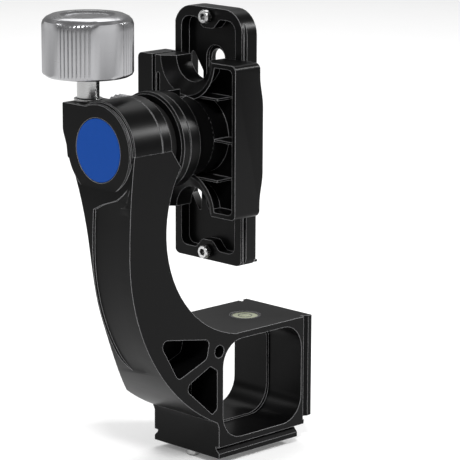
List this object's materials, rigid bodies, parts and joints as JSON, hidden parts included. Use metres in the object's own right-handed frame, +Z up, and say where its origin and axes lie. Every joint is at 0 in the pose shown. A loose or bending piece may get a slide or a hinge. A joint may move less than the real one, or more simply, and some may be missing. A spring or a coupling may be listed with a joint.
{
  "type": "gimbal tripod head",
  "caption": "C-shaped side-mount gimbal head for a tripod, with a tilt pivot, dovetail clamp, lens plate and lock knob.",
  "frame": {"origin": "centre of the dovetail foot's underside", "axes": "+Z up; +X along the tilt axis, from the blue disc to the lens plate; +Y to the clamp knob's side"},
  "size_m": [0.1098, 0.0755, 0.1837],
  "materials": {
    "anodised_black": "satin black anodising",
    "satin_silver": "satin",
    "bright_steel": "turned and polished",
    "blue_disc": "matt",
    "bronze": "machined",
    "rubber": "matt",
    "level_fluid": "glossy"
  },
  "bodies": {
    "frame": {"arm_frame": "anodised_black", "cap_disc": "blue_disc", "front_bearing": "bronze", "rear_bearing": "bronze", "dust_seal": "rubber", "level_vial": "level_fluid", "stud_washer": "bright_steel", "foot_screw_left": "bright_steel", "foot_screw_right": "bright_steel"},
    "tilt": {"tilt_journal": "anodised_black", "clamp_body": "anodised_black", "hub_bolt": "bright_steel", "retaining_washer": "bright_steel", "retaining_screw": "bright_steel", "jaw_pin_lower": "bright_steel", "jaw_pin_upper": "bright_steel", "jaw_spring": "bright_steel"},
    "jaw": {"movable_jaw": "anodised_black"},
    "clamp_turner": {"clamp_knob": "satin_silver", "clamp_screw": "bright_steel"},
    "plate": {"lens_plate": "anodised_black", "stop_screw_top": "bright_steel", "stop_screw_bottom": "bright_steel"},
    "shoe": {"brake_shoe": "bronze"},
    "lock": {"lock_knob": "satin_silver", "lock_stud": "bright_steel"}
  },
  "joints": [
    {"name": "tilt_turn", "type": "hinge", "parent": "frame", "child": "tilt", "pos_m": [0, 0, 0.1304], "axis": [1, 0, 0], "continuous": true},
    {"name": "jaw_open", "type": "slide", "parent": "tilt", "child": "jaw", "axis": [0, 1, 0], "range_m": [0, 0.003]},
    {"name": "clamp_knob_turn", "type": "hinge", "parent": "jaw", "child": "clamp_turner", "pos_m": [-0.01715, 0, 0.1304], "axis": [0, 1, 0], "range_deg": [0, 1080.5]},
    {"name": "plate_slide", "type": "slide", "parent": "tilt", "child": "plate", "axis": [0, 0, 1], "range_m": [-0.02, 0.02]},
    {"name": "shoe_lift", "type": "slide", "parent": "frame", "child": "shoe", "axis": [0, 0, 1], "range_m": [0, 0.0008]},
    {"name": "lock_turn", "type": "hinge", "parent": "shoe", "child": "lock", "pos_m": [-0.06105, 0.0155, 0.16], "axis": [0, 0, 1], "range_deg": [0, 230.5]}
  ],
  "couplings": [
    {"joint": "clamp_knob_turn", "follows": "jaw_open", "rad_per_m": 6283.2},
    {"joint": "lock_turn", "follows": "shoe_lift", "rad_per_m": 5026.5}
  ]
}
